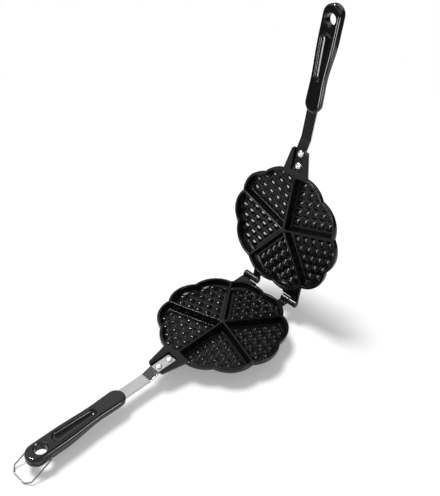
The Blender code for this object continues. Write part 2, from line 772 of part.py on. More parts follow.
# The lower half stands on its base.
lower_frame = empty("lower_half", None, (0, 0, BASE_HEIGHT))
lower_grip = half("lower", LOOKS, lower_frame)
cut_bail_holes(lower_grip)
for side_name, pair_x in zip(("left", "right"), pair_starts()):
    hinge_pin(f"hinge_pin_{side_name}", pair_x, LOOKS["pin"], lower_frame)

# The bail hangs from the lower grip and rests on the table.
pivot_height = BASE_HEIGHT - bail_depth()
bail_frame = empty("bail_pivot", lower_frame, (0, BAIL_PIVOT_Y, -bail_depth()))
bail_frame.rotation_euler.x = math.asin((pivot_height - WIRE_RADIUS - FIT_GAP) / BAIL_REACH)
bail("latch_bail", LOOKS["wire"], bail_frame)

# The upper half is the same set turned over about the handle's axis and swung open on the hinge.
hinge_frame = empty("hinge_axis", None, (0, HINGE_Y, BASE_HEIGHT))
hinge_frame.rotation_euler.x = -OPEN_ANGLE
upper_frame = empty("upper_half", hinge_frame, (0, -HINGE_Y, 0))
upper_frame.rotation_euler.y = PI
half("upper", LOOKS, upper_frame)
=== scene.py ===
# Stovetop waffle iron: the looks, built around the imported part.
# Metres, +Z up, handles to -Y, hinge at +Y.
# Each half is made baking side up, with the joint plane at z = 0.
import json
import math

import bmesh
import bpy
from mathutils import Euler, Matrix, Vector

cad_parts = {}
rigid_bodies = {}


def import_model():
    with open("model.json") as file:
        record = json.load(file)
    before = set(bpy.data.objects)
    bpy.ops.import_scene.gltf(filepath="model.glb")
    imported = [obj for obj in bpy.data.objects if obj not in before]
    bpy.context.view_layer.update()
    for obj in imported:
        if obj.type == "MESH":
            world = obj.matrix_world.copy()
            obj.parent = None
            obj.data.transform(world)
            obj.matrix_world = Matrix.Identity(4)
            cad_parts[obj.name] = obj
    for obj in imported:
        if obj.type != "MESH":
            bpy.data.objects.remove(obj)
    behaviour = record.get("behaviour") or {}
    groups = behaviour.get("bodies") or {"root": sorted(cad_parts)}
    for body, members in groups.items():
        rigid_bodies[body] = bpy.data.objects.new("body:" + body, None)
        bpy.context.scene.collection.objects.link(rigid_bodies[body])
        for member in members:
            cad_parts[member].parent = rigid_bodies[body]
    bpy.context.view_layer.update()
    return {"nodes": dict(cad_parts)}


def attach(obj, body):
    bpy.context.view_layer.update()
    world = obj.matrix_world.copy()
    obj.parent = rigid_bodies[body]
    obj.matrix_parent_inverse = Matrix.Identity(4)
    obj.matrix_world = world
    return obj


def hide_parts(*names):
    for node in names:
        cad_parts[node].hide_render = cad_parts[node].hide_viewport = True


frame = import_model()
stageObjects = bpy.context.scene.collection.objects
quarterTurn, halfTurn, fullTurn = math.pi / 2, math.pi, 2 * math.pi
openAngle = math.radians(98.4)  # of the lid, as loaded
print("frame loaded:", len(frame["nodes"]), "nodes")

camera = {
    "frame": (440, 496),  # pixels
    "focal": 770.1,  # pixels
    "centre": (253.5, 225.8),  # pixels, where the view's axis meets the picture
    "sensor": 36.0,  # millimetres
    "clip": (0.01, 20),  # nearest and furthest that it sees
    "place": (0.559033, -0.620476, 0.822329),
    "right": (0.735844, 0.673940, 0.065873),
    "down": (0.439362, -0.401157, -0.803762),
    "ahead": (-0.515262, 0.620385, -0.591293),
}


def placed(name, data):
    made = bpy.data.objects.new(name, data)
    stageObjects.link(made)
    return made


def addCamera(c):
    width, height = c["frame"]
    data = bpy.data.cameras.new("camera")
    data.sensor_width = c["sensor"]
    data.lens = c["focal"] * c["sensor"] / height
    data.shift_x = (width / 2 - c["centre"][0]) / height
    data.shift_y = (c["centre"][1] - height / 2) / height
    data.clip_start, data.clip_end = c["clip"]
    view = placed("camera", data)
    right, down, ahead = (Vector(c[k]).normalized() for k in ("right", "down", "ahead"))
    axes = Matrix((right, -down, -ahead)).transposed().to_4x4()
    view.matrix_world = Matrix.Translation(Vector(c["place"])) @ axes
    bpy.context.scene.camera = view


addCamera(camera)
print("camera placed")


class Link:
    # A node's output. Arithmetic on it adds Math nodes.
    def __init__(self, graph, socket):
        self.graph, self.socket = graph, socket

    def also(self, output):
        # Another output of the same node.
        return Link(self.graph, self.socket.node.outputs[output])

    def math(self, operation, first, second):
        return self.graph.node("ShaderNodeMath", {0: first, 1: second}, operation=operation)

    def __add__(self, other):
        return self.math("ADD", self, other)

    def __sub__(self, other):
        return self.math("SUBTRACT", self, other)

    def __rsub__(self, other):
        return self.math("SUBTRACT", other, self)

    def __mul__(self, other):
        return self.math("MULTIPLY", self, other)

    def __truediv__(self, other):
        return self.math("DIVIDE", self, other)

    def __rtruediv__(self, other):
        return self.math("DIVIDE", other, self)

    def __gt__(self, other):
        return self.math("GREATER_THAN", self, other)

    def __lt__(self, other):
        return self.math("LESS_THAN", self, other)

    __radd__, __rmul__ = __add__, __mul__


class Graph:
    # A node tree, with one way to make a node. It takes the values or links of the node's sockets,
    # the output that is used, and the node's settings, which are set first.
    def __init__(self, tree):
        self.tree = tree

    def feed(self, socket, value):
        if isinstance(value, Link):
            self.tree.links.new(value.socket, socket)
        else:
            socket.default_value = value

    def node(self, kind, values=None, output=0, **settings):
        made = self.tree.nodes.new(kind)
        for key, value in settings.items():
            setattr(made, key, value)
        for key, value in (values or {}).items():
            self.feed(made.inputs[key], value)
        return Link(self, made.outputs[output])


class Look(Graph):
    # A material. Plain numbers are set on the shader's own sockets.
    # Its patterns lie in the piece's own frame, turned by tilt.
    def __init__(self, name, tilt=(0, 0, 0), **constants):
        self.material = bpy.data.materials.new(name)
        self.material.use_nodes = True
        super().__init__(self.material.node_tree)
        self.shader = self.tree.nodes["Principled BSDF"]
        self.tilt = tilt
        self.dress(**constants)

    def dress(self, **sockets):
        for socket, value in sockets.items():
            self.feed(self.shader.inputs[socket.replace("_", " ")], value)
        return self.material

    def noise(self, size, detail=2.0, stretch=(1, 1, 1)):
        # size is one spot's width in metres, and stretch lengthens it along the piece's axes.
        where = self.node("ShaderNodeTexCoord", output="Object")
        mapping = {"Vector": where, "Rotation": self.tilt, "Scale": [size * s for s in stretch]}
        spot = self.node("ShaderNodeMapping", mapping, vector_type="TEXTURE")
        return self.node("ShaderNodeTexNoise", {"Vector": spot, "Scale": 1.0, "Detail": detail}, "Fac")

    def between(self, share, low, high):
        return self.node("ShaderNodeMix", {0: share, 6: low, 7: high}, 2, data_type="RGBA")

    def bump(self, height, f):
        values = {"Height": height, "Distance": f["depth"], "Strength": f["bump"]}
        return self.node("ShaderNodeBump", values, "Normal")


class Recipe(Graph):
    # A Geometry Nodes tree with named inputs, which ends in Realize Instances and Set Material.
    kinds = {float: "NodeSocketFloat", int: "NodeSocketInt", tuple: "NodeSocketVector"}

    def __init__(self, name, look, **inputs):
        super().__init__(bpy.data.node_groups.new(name, "GeometryNodeTree"))
        self.look = look
        interface = self.tree.interface
        interface.new_socket("Geometry", in_out="INPUT", socket_type="NodeSocketGeometry")
        interface.new_socket("Geometry", in_out="OUTPUT", socket_type="NodeSocketGeometry")
        self.names = {}
        for label, value in inputs.items():
            kind = self.kinds.get(type(value), "NodeSocketObject")
            self.names[label] = interface.new_socket(label, in_out="INPUT", socket_type=kind).identifier
        self.values = inputs
        self.start = self.node("NodeGroupInput")

    def take(self, label):
        return self.start.also(label)

    def item(self, label):
        return self.node("GeometryNodeObjectInfo", {"Object": self.take(label)}, "Geometry")

    def end(self, geometry):
        whole = self.node("GeometryNodeRealizeInstances", {0: geometry})
        coloured = self.node("GeometryNodeSetMaterial", {"Geometry": whole, "Material": self.look})
        self.feed(self.tree.nodes.new("NodeGroupOutput").inputs[0], coloured)
        return self

    def use(self, piece):
        step = piece.modifiers.new(self.tree.name, "NODES")
        step.node_group = self.tree
        for label, value in self.values.items():
            step[self.names[label]] = value
        return settled(piece)


# Shades are linear and lengths are in metres. "duller" is what the patterns add to the roughness.
finishes = {
    "coating": {
        "dark": 0.0025, "light": 0.0050, "warmth": -0.04, "gloss": 0.25, "roughness": 0.13,
        "duller": (0.08, 0.04), "patch": 0.03, "grain": 0.0008, "depth": 0.00003, "bump": 0.6,
    },
    "strap": {
        "dark": 0.42, "light": 0.72, "warmth": 0.01, "roughness": 0.03, "duller": (0.02, 0.02),
        "lineShare": 0.6, "line": 0.0007, "length": 0.02, "smear": 0.012, "smearStretch": 3,
        "depth": 0.00001, "bump": 0.5,
    },
    "rivet": {
        "dark": 0.74, "light": 0.88, "roughness": 0.32, "duller": 0.12,
        "patch": 0.004, "grain": 0.0009, "depth": 0.00002, "bump": 0.5,
    },
    "pin": {
        "dark": 0.05, "light": 0.14, "roughness": 0.34, "duller": 0.12,
        "patch": 0.003, "grain": 0.0007, "depth": 0.00003, "bump": 0.5,
    },
    "screw": {
        "dark": 0.40, "light": 0.55, "roughness": 0.30, "duller": 0.12,
        "patch": 0.003, "grain": 0.0007, "depth": 0.00002, "bump": 0.5,
    },
    "wire": {
        "dark": 0.16, "light": 0.28, "roughness": 0.25, "duller": 0.12,
        "patch": 0.006, "grain": 0.0012, "depth": 0.00001, "bump": 0.5,
    },
    "plastic": {
        "dark": 0.0080, "light": 0.0140, "gloss": 0.42, "roughness": 0.08, "duller": 0.10,
        "patch": 0.02, "ripple": 0.007, "depth": 0.00002, "bump": 0.5,
    },
}


def shade(f, tone):
    level, warmth = f[tone], f.get("warmth", 0.0)
    return (level * (1 + warmth), level, level * (1 - warmth), 1)


def coatedLook(name, f):
    # Sprayed non-stick coat over cast metal: satin black, fine orange peel, faint cloudy patches.
    look = Look(name, Specular_IOR_Level=f["gloss"])
    patch, grain = look.noise(f["patch"], detail=3.0), look.noise(f["grain"])
    colour = look.between(patch, shade(f, "dark"), shade(f, "light"))
    rough = f["roughness"] + f["duller"][0] * patch + f["duller"][1] * grain
    return look.dress(Base_Color=colour, Roughness=rough, Normal=look.bump(grain, f))


def rolledLook(name, f, tilt):
    # Polished flat steel, with fine lines and soft smears along the strap.
    look = Look(name, tilt, Metallic=1.0)
    lines = look.noise(f["line"], 3.0, (1, f["length"] / f["line"], 1))
    smear = look.noise(f["smear"], 2.0, (1, f["smearStretch"], 1))
    share = lines * f["lineShare"] + smear * (1 - f["lineShare"])
    colour = look.between(share, shade(f, "dark"), shade(f, "light"))
    rough = f["roughness"] + f["duller"][0] * lines + f["duller"][1] * smear
    return look.dress(Base_Color=colour, Roughness=rough, Normal=look.bump(lines, f))


def metalLook(name, f):
    look = Look(name, Metallic=1.0)
    patch, grain = look.noise(f["patch"], detail=3.0), look.noise(f["grain"])
    colour = look.between(patch, shade(f, "dark"), shade(f, "light"))
    rough = f["roughness"] + f["duller"] * patch
    return look.dress(Base_Color=colour, Roughness=rough, Normal=look.bump(grain, f))


def phenolicLook(name, f):
    # Gloss black moulding: slow ripples in the surface and a few duller patches from handling.
    look = Look(name, Specular_IOR_Level=f["gloss"])
    patch, ripple = look.noise(f["patch"], detail=3.0), look.noise(f["ripple"], detail=1.0)
    colour = look.between(patch, shade(f, "dark"), shade(f, "light"))
    rough = f["roughness"] + f["duller"] * patch
    return look.dress(Base_Color=colour, Roughness=rough, Normal=look.bump(ripple, f))


looks = {
    "coating": coatedLook("nonStickCoating", finishes["coating"]),
    "lowerStrap": rolledLook("lowerStrapSteel", finishes["strap"], (0, 0, 0)),
    "upperStrap": rolledLook("upperStrapSteel", finishes["strap"], (-openAngle, 0, 0)),
    "rivet": metalLook("rivetSteel", finishes["rivet"]),
    "pin": metalLook("hingePinSteel", finishes["pin"]),
    "screw": metalLook("screwSteel", finishes["screw"]),
    "wire": metalLook("bailWire", finishes["wire"]),
    "plastic": phenolicLook("glossPhenolic", finishes["plastic"]),
}
print("finishes made:", len(looks))

meshing = {
    "edgeSteps": 4,  # faces across a small rounded edge
    "bendSteps": 6,  # faces along a bend of the straps and the bail
    "bevelFrom": 30,  # degrees between two faces
    "sharpFrom": 32,  # degrees between two faces
    "flatWeight": 60,  # of large faces over small ones in the shading, 1 to 100
    "weld": 4e-6,  # points nearer than this become one
    "overrun": 0.002,  # of each cutter past the face that it opens
}


def toward(angle):
    return Vector((math.cos(angle), math.sin(angle)))


def arc(centre, radius, start, end, steps):
    return [Vector(centre) + radius * toward(start + (end - start) * i / steps) for i in range(steps + 1)]


def arcSteps(count=meshing["edgeSteps"]):
    # (1 - sin, 1 - cos) along a quarter turn, for rounded edges.
    turns = [quarterTurn * i / count for i in range(count + 1)]
    return [(1 - math.sin(turn), 1 - math.cos(turn)) for turn in turns]


def bothSides(side):
    return side + [Vector((-p.x, p.y)) for p in reversed(side)]


def ring(outline, z):
    return [Vector((p[0], p[1], z)) for p in outline]


def rounded(corners, radii, steps=meshing["edgeSteps"]):
    # A path through the corners, with an arc of its own radius at each inner one.
    corners = [Vector(c).to_3d() for c in corners]
    points = [corners[0]]
    for before, corner, after, radius in zip(corners, corners[1:], corners[2:], radii):
        back, ahead = (before - corner).normalized(), (after - corner).normalized()
        angle = back.angle(ahead) / 2
        centre = corner + (back + ahead).normalized() * radius / math.sin(angle)
        first = corner + back * radius / math.tan(angle) - centre
        turn = ahead.cross(back).normalized()
        for i in range(steps + 1):
            points.append(centre + Matrix.Rotation((halfTurn - 2 * angle) * i / steps, 3, turn) @ first)
    return points + [corners[-1]]


def newObject(name, shape):
    bmesh.ops.recalc_face_normals(shape, faces=shape.faces)
    mesh = bpy.data.meshes.new(name)
    shape.to_mesh(mesh)
    shape.free()
    return placed(name, mesh)


def pathObject(name, corners=()):
    # A mesh of points, each joined to the next.
    mesh = bpy.data.meshes.new(name)
    mesh.from_pydata(corners, [(i, i + 1) for i in range(len(corners) - 1)], [])
    return placed(name, mesh)


def loft(name, rings):
    # Skins rings of equally many points, and closes both ends.
    shape = bmesh.new()
    rows = [[shape.verts.new(p) for p in points] for points in rings]
    for low, high in zip(rows, rows[1:]):
        for i in range(len(low)):
            shape.faces.new((low[i - 1], low[i], high[i], high[i - 1]))
    shape.faces.new(rows[0])
    shape.faces.new(rows[-1])
    return newObject(name, shape)


def turned(name, profile, segments):
    # Turns (radius, height) pairs about the Z axis. The first and last pairs lie on it.
    shape = bmesh.new()
    spins = [fullTurn * i / segments for i in range(segments)]
    rows = [[shape.verts.new((*(r * toward(a)), z)) for a in spins] for r, z in profile[1:-1]]
    for low, high in zip(rows, rows[1:]):
        for i in range(segments):
            shape.faces.new((low[i - 1], low[i], high[i], high[i - 1]))
    for row, (_, z) in ((rows[0], profile[0]), (rows[-1], profile[-1])):
        pole = shape.verts.new((0, 0, z))
        for i in range(segments):
            shape.faces.new((row[i - 1], row[i], pole))
    return newObject(name, shape)


def moved(piece, place=(0, 0, 0), turn=(0, 0, 0)):
    piece.data.transform(Matrix.Translation(place) @ Euler(turn).to_matrix().to_4x4())
    return piece


def bevel(piece, width, segments):
    step = piece.modifiers.new("round", "BEVEL")
    step.width, step.segments = width, segments
    step.limit_method, step.angle_limit = "ANGLE", math.radians(meshing["bevelFrom"])
    return piece


def boolean(piece, tool, operation):
    step = piece.modifiers.new(operation.lower(), "BOOLEAN")
    step.operation, step.solver, step.object = operation, "EXACT", tool
    return piece


def welded(mesh):
    shape = bmesh.new()
    shape.from_mesh(mesh)
    bmesh.ops.remove_doubles(shape, verts=shape.verts, dist=meshing["weld"])
    bmesh.ops.dissolve_degenerate(shape, edges=shape.edges, dist=meshing["weld"])
    shape.to_mesh(mesh)
    shape.free()


def settled(piece):
    # Works in the modifiers, and clears away the objects that only they used.
    bpy.context.view_layer.update()
    seen = piece.evaluated_get(bpy.context.evaluated_depsgraph_get())
    mesh = bpy.data.meshes.new_from_object(seen)
    tools = [step.object for step in piece.modifiers if step.type == "BOOLEAN"]
    piece.modifiers.clear()
    piece.data = mesh
    if tools:
        welded(mesh)
    for tool in tools:
        bpy.data.objects.remove(tool)
    return piece


def repeatAround(look, count):
    # Copies of one piece, evenly round the Z axis.
    recipe = Recipe("repeatAround", look, Count=count)
    number = recipe.take("Count")
    points = recipe.node("GeometryNodePoints", {"Count": number})
    index = recipe.node("GeometryNodeInputIndex")
    spin = recipe.node("ShaderNodeCombineXYZ", {2: index * fullTurn / number})
    copies = {"Points": points, "Instance": recipe.take("Geometry"), "Rotation": spin}
    return recipe.end(recipe.node("GeometryNodeInstanceOnPoints", copies))


def studLattice(look, stud, steps, first, second):
    # Studs on a slanting lattice between two dividers.
    # The corner beyond reach lies past the rim and stays empty.
    sizes = {"Rows": steps - 1, "Reach": steps + 1, "First": (*first, 0.0), "Second": (*second, 0.0)}
    recipe = Recipe("studLattice", look, Stud=stud, **sizes)
    rows = recipe.take("Rows")
    span = rows - 1
    grid = recipe.node("GeometryNodeMeshGrid", {0: span, 1: span, 2: rows, 3: rows})
    along = recipe.node("ShaderNodeSeparateXYZ", {0: recipe.node("GeometryNodeInputPosition")})
    middle = span * 0.5 + 1
    i, j = along + middle, along.also(1) + middle
    beyond = (i + j) > (recipe.take("Reach") + 0.5)
    kept = recipe.node("GeometryNodeDeleteGeometry", {0: grid, 1: beyond})

    def scaled(label, count):
        values = {0: recipe.take(label), "Scale": count}
        return recipe.node("ShaderNodeVectorMath", values, operation="SCALE")

    offsets = {0: scaled("First", i), 1: scaled("Second", j)}
    spot = recipe.node("ShaderNodeVectorMath", offsets, operation="ADD")
    spread = recipe.node("GeometryNodeSetPosition", {"Geometry": kept, "Position": spot})
    copies = {"Points": spread, "Instance": recipe.item("Stud")}
    return recipe.end(recipe.node("GeometryNodeInstanceOnPoints", copies))


def onPoints(look, item):
    # One item on every point of a mesh.
    recipe = Recipe("onPoints", look, Item=item)
    copies = {"Points": recipe.take("Geometry"), "Instance": recipe.item("Item")}
    return recipe.end(recipe.node("GeometryNodeInstanceOnPoints", copies))


def alongPath(look, bend, **section):
    # A bar or wire along a bent path: its corners are rounded first, then the section is swept along it.
    recipe = Recipe("alongPath", look, Bend=bend, Steps=meshing["bendSteps"], **section)
    steps = recipe.take("Steps")

    def softened(curve, radius):
        corners = {"Curve": curve, "Count": steps, "Radius": recipe.take(radius), "Limit Radius": True}
        return recipe.node("GeometryNodeFilletCurve", corners, mode="POLY")

    path = softened(recipe.node("GeometryNodeMeshToCurve", {0: recipe.take("Geometry")}), "Bend")
    path = recipe.node("GeometryNodeSetCurveNormal", {"Curve": path}, mode="Z_UP")
    if "Radius" in section:
        circle = {"Resolution": steps * 3, "Radius": recipe.take("Radius")}
        outline = recipe.node("GeometryNodeCurvePrimitiveCircle", circle)
    else:
        box = {"Width": recipe.take("Width"), "Height": recipe.take("Height")}
        outline = softened(recipe.node("GeometryNodeCurvePrimitiveQuadrilateral", box), "Corner")
    bar = {"Curve": path, "Profile Curve": outline, "Fill Caps": True}
    return recipe.end(recipe.node("GeometryNodeCurveToMesh", bar))


# Sides and paths are (inset, z) pairs. Insets run inward from a piece's outline.
casting = {
    "hearts": 5,
    "face": -0.00015,  # half the gap between the closed halves
    "lobeTip": 0.0982,  # distance of a lobe's tip from the centre
    "notchShare": 0.9389,  # of lobeTip
    "lobeSteps": 14,
    "edge": 0.0010,
    "side": ((0, -0.0075), (0.004, -0.0106), (0.008, -0.0142), (0.012, -0.016), (0.016, -0.016)),
    "sideBends": (0.004, 0.006, 0.008, 0.006),
}
mould = {
    "land": 0.0042,  # width of the rim's top
    "crest": 0.0018,  # half the width of a divider's top
    "mouth": 0.0012,  # rounding of its upper edge
    "bend": (0.006, -0.009),
    "floor": (0.009, -0.0123),
    "root": 0.0042,  # half the width of a divider's foot
    "bends": (0.006, 0.002),
    "tipRound": 0.0014,
    "tipSteps": 6,
}
studs = {
    "steps": 6,  # of the lattice along a divider
    "divider": 0.088,  # length that the lattice fills
    "height": 0.004,
    "gap": 0.0012,  # between two studs
    "root": 0.0002,  # sunk below the floor
    "levels": 8,
    "flatTop": 0.7,  # of one level, left flat
    "corner": 0.5,  # share of half a side
}
stand = {
    "top": (0.066, -0.015),  # radius and height
    "foot": (0.064, -0.0325),
    "wall": 0.004,
    "hub": 0.012,  # radius
    "rib": 0.00175,  # half a rib's width
    "corner": 0.0035,
    "edge": 0.0009,
    "ceiling": -0.0164,
    "ceilingRound": 0.002,
    "segments": 96,
    "hubSteps": 6,
    "cornerSteps": 5,
    "wallSteps": 10,
}
lug = {
    "root": (0.024, -0.088),  # half width and y
    "end": (0.0152, -0.1345),
    "corner": 0.0058,
    "cornerSteps": 8,
    "edge": 0.0007,
    "drop": 0.00006,  # of its face below the plate's
    "side": ((0, -0.003), (0.0035, -0.0095), (0.0046, -0.0095)),
    "sideBends": (0.002, 0.0015),
    "pocket": (0.0097, -0.0995),  # half width and y of its inner end
    "pocketCorner": 0.002,
    "pocketSteps": 5,
    "pocketFloor": -0.0073,
    "pocketEdge": 0.0005,
}
hinge = {
    "y": 0.106,
    "station": 0.039,  # middle of a pair of knuckles
    "knuckle": 0.0137,  # length of one
    "knuckleRadius": 0.0055,
    "gap": 0.0005,  # between the two of a pair
    "bore": 0.0026,  # radius
    "armTop": -0.001,
    "armBottom": -0.005,
    "armEdge": 0.0005,
    "armEdgeSteps": 3,
    "step": 0.0003,  # of the neck inside its knuckle
    "neck": 0.0994,
    "shoulder": (0.0225, 0.0988),
    "innerRoot": (0.0215, 0.085),
    "outerRoot": 0.072,
    "segments": 48,
    "boreSegments": 32,
}

halfHeart = halfTurn / casting["hearts"]
halfLobe = halfHeart / 2
firstMiddle = halfHeart - quarterTurn
notch = casting["lobeTip"] * casting["notchShare"]
reach = casting["lobeTip"] - notch * math.cos(halfLobe)
lobeCentre = (casting["lobeTip"] ** 2 - notch**2) / (2 * reach)
lobeRadius = casting["lobeTip"] - lobeCentre
lobeSide = lobeCentre * math.sin(halfLobe)
# Starts of the hinge's left and right pair of knuckles.
halfPair = hinge["gap"] / 2 + hinge["knuckle"]
pairStarts = (-hinge["station"] - halfPair, hinge["station"] - halfPair)


def lobeSpan(inset):
    return halfLobe + math.asin(lobeSide / (lobeRadius - inset))


def scallops(c, inset):
    points, span, radius = [], lobeSpan(inset), lobeRadius - inset
    for lobe in range(2 * c["hearts"]):
        middle = halfLobe * (2 * lobe + 1) - quarterTurn
        start, end = middle - span, middle + span
        points += arc(lobeCentre * toward(middle), radius, start, end, c["lobeSteps"])[:-1]
    return points


def heartOutline(c, m, inset, width):
    # Rounded tip, right lobe, notch, left lobe. width is half a divider's.
    across = toward(firstMiddle + quarterTurn)
    tip = toward(firstMiddle) * (width + m["tipRound"]) / math.sin(halfHeart)
    turn = halfHeart + quarterTurn
    points = arc(tip, m["tipRound"], firstMiddle + turn, firstMiddle + fullTurn - turn, m["tipSteps"])
    lobe, radius = firstMiddle - halfLobe, lobeRadius - inset
    start = lobe - halfLobe - math.asin((lobeSide - width) / radius)
    right = arc(lobeCentre * toward(lobe), radius, start, lobe + lobeSpan(inset), c["lobeSteps"])
    return points + right + [p - 2 * across * p.dot(across) for p in reversed(right[:-1])]


def buildStud(s, first, second, floor):
    # A pillow on a slanting square, steepest at its foot.
    rings = []
    for level in range(s["levels"]):
        away = 1 - level / (s["levels"] - s["flatTop"])
        a, b = first * away, second * away
        corners = rounded([-a, -a - b, a - b, a + b, b - a, -a], [s["corner"] * a.length] * 4)
        rings.append(ring(corners[:-1], floor - s["root"] + (s["height"] + s["root"]) * (1 - away**2)))
    return loft("stud", rings)


def buildMoulds(c, m, s):
    # The cutter for all the moulds: one heart, repeated, less its studs.
    face, land, crest, edge = c["face"], m["land"], m["crest"], m["mouth"]
    (bendInset, bendZ), (floorInset, floorZ) = m["bend"], m["floor"]
    widening = (crest - m["root"]) / floorZ
    # Each level is an inset, a height and half a divider's width there.
    mouth = [(land - edge * x, face - edge * y, crest - edge * x) for x, y in arcSteps()]
    path = [(land, face - edge, crest), (bendInset, bendZ, crest - widening * bendZ)]
    path.append((floorInset, floorZ, m["root"]))
    path.append((floorInset + m["bends"][1], floorZ, m["root"] + m["bends"][1]))
    levels = [(mouth[0][0], meshing["overrun"], mouth[0][2])] + mouth + rounded(path, m["bends"])[1:-1]
    heart = loft("heart", [ring(heartOutline(c, m, inset, width), z) for inset, z, width in levels])
    repeatAround(looks["coating"], c["hearts"]).use(heart)

    pitch = s["divider"] / s["steps"]
    base = (pitch - s["gap"]) / 2
    first, second = toward(firstMiddle - halfHeart), toward(firstMiddle + halfHeart)
    stud = buildStud(s, first * base, second * base, floorZ)
    lattice = pathObject("studs")
    studLattice(looks["coating"], stud, s["steps"], first * pitch, second * pitch).use(lattice)
    bpy.data.objects.remove(stud)
    repeatAround(looks["coating"], c["hearts"]).use(lattice)
    return settled(boolean(heart, lattice, "DIFFERENCE"))


def hollowOutline(s, grow):
    # One hollow of the stand: between two ribs, the hub and the ring's wall, with rounded corners.
    outer, inner = s["foot"][0] - s["wall"] + grow, s["hub"] - grow
    rib, corner = s["rib"] - grow, s["corner"] + grow
    along, across = toward(firstMiddle - halfHeart), toward(firstMiddle - halfHeart + quarterTurn)
    middle = toward(firstMiddle + quarterTurn)

    def centre(distance):
        offset = rib + corner
        return along * math.sqrt(distance**2 - offset**2) + across * offset

    low, high = centre(inner + corner), centre(outer - corner)
    rise = firstMiddle - halfHeart - quarterTurn
    lowTurn, highTurn = math.atan2(-low.y, -low.x), math.atan2(high.y, high.x)
    lowEnd = lowTurn + (rise - lowTurn + halfTurn) % fullTurn - halfTurn
    side = arc((0, 0), inner, firstMiddle, math.atan2(low.y, low.x), s["hubSteps"])[1:]
    side += arc(low, corner, lowTurn, lowEnd, s["cornerSteps"])[1:]
    side += arc(high, corner, rise, rise + (highTurn - rise) % fullTurn, s["cornerSteps"])
    side += arc((0, 0), outer, highTurn, firstMiddle, s["wallSteps"])[1:-1]
    start, top = inner * toward(firstMiddle), outer * toward(firstMiddle)
    return [start] + side + [top] + [p - 2 * middle * p.dot(middle) for p in reversed(side)]


def buildStand(s):
    (topRadius, topZ), (footRadius, footZ), edge = s["top"], s["foot"], s["edge"]
    slope = (topRadius - footRadius) / (topZ - footZ)
    foot = [(footRadius + slope * edge * y - edge * x, footZ + edge * y) for x, y in reversed(arcSteps())]
    circles = [(arc((0, 0), radius, 0, fullTurn, s["segments"])[:-1], z) for radius, z in [s["top"]] + foot]
    return loft("stand", [ring(circle, z) for circle, z in circles])


def buildHollows(c, s):
    foot, edge, soft = s["foot"][1], s["edge"], s["ceilingRound"]
    levels = [(edge, foot - meshing["overrun"])] + [(edge * x, foot + edge * y) for x, y in arcSteps()]
    levels += [(-soft * y, s["ceiling"] - soft * x) for x, y in arcSteps()]
    made = loft("hollows", [ring(hollowOutline(s, grow), z) for grow, z in levels])
    return repeatAround(looks["coating"], c["hearts"]).use(made)


def buildLug(c, g):
    (rootWidth, rootY), (endWidth, endY) = g["root"], g["end"]
    slope = math.atan2(rootWidth - endWidth, rootY - endY)
    middle = (endWidth - g["corner"], endY + g["corner"])

    def outline(inset):
        corner = arc(middle, g["corner"] - inset, -slope, -quarterTurn, g["cornerSteps"])
        return bothSides([Vector((rootWidth - inset, rootY))] + corner)

    levels = [(g["edge"] * x, c["face"] - g["drop"] - g["edge"] * y) for x, y in arcSteps()]
    path = rounded([levels[-1], *g["side"]], g["sideBends"])[1:]
    return loft("lug", [ring(outline(level[0]), level[1]) for level in levels + path])


def buildPocket(c, g):
    (width, start), corner, edge = g["pocket"], g["pocketCorner"], g["pocketEdge"]
    end = g["end"][1] - meshing["overrun"]

    def outline(grow):
        turn = arc((width - corner, start - corner), corner + grow, quarterTurn, 0, g["pocketSteps"])
        return bothSides(turn + [Vector((width + grow, end))])

    levels = [(edge, meshing["overrun"])] + [(edge * x, c["face"] - edge * y) for x, y in arcSteps()]
    levels.append((0, g["pocketFloor"]))
    return loft("pocket", [ring(outline(grow), z) for grow, z in levels])


def buildArm(h, side):
    # On the left the web spans both knuckles of the pair, on the right only the inner one.
    neck = h["knuckle"] - 2 * h["step"]
    start = h["station"] + halfPair - h["step"] - neck if side < 0 else h["station"] - halfPair + h["step"]
    tongue = [(start, h["neck"]), (start, h["y"]), (start + neck, h["y"]), (start + neck, h["outerRoot"])]
    web = [h["innerRoot"], h["shoulder"]] if side < 0 else [h["innerRoot"]]
    outline = [(side * x, y) for x, y in web + tongue]
    arm = loft("arm", [ring(outline, h["armBottom"]), ring(outline, h["armTop"])])
    return settled(bevel(arm, h["armEdge"], h["armEdgeSteps"]))


def rod(name, profile, start, segments):
    # A turned piece laid along the hinge's axis, from start.
    return moved(turned(name, profile, segments), (start, hinge["y"], 0), (0, quarterTurn, 0))


def buildKnuckle(h, start):
    radius, width, edge = h["knuckleRadius"], h["knuckle"], h["armEdge"]
    side = [(radius - edge * x, edge * y) for x, y in arcSteps()]
    side += [(r, width - z) for r, z in reversed(side)]
    return rod("knuckle", [(0, 0), *side, (0, width)], start, h["segments"])


def buildBore(h, start):
    over = meshing["overrun"]
    low, high = -over, h["knuckle"] + over
    return rod("bore", [(0, low), (h["bore"], low), (h["bore"], high), (0, high)], start, h["boreSegments"])


def buildCasting(c, h):
    levels = [(c["edge"] * x, c["face"] - c["edge"] * y) for x, y in arcSteps()]
    path = rounded([levels[-1], *c["side"]], c["sideBends"])[1:]
    made = loft("casting", [ring(scallops(c, level[0]), level[1]) for level in levels + path])
    added = [buildStand(stand), buildLug(c, lug), buildArm(h, -1), buildArm(h, 1)]
    added += [buildKnuckle(h, start) for start in pairStarts]
    cut = [buildBore(h, start) for start in pairStarts]
    cut += [buildMoulds(c, mould, studs), buildHollows(c, stand), buildPocket(c, lug)]
    for tool in added:
        boolean(made, tool, "UNION")
    for tool in cut:
        boolean(made, tool, "DIFFERENCE")
    return settled(made)


strap = {
    "width": 0.018,
    "thickness": 0.003,
    "corner": 0.0006,
    "endEdge": 0.0003,
    "endEdgeSteps": 2,
    "fold": 0.006,
    # y and z along its top.
    "path": ((-0.1002, -0.004), (-0.1342, -0.004), (-0.1494, -0.0087), (-0.229, -0.0087)),
}


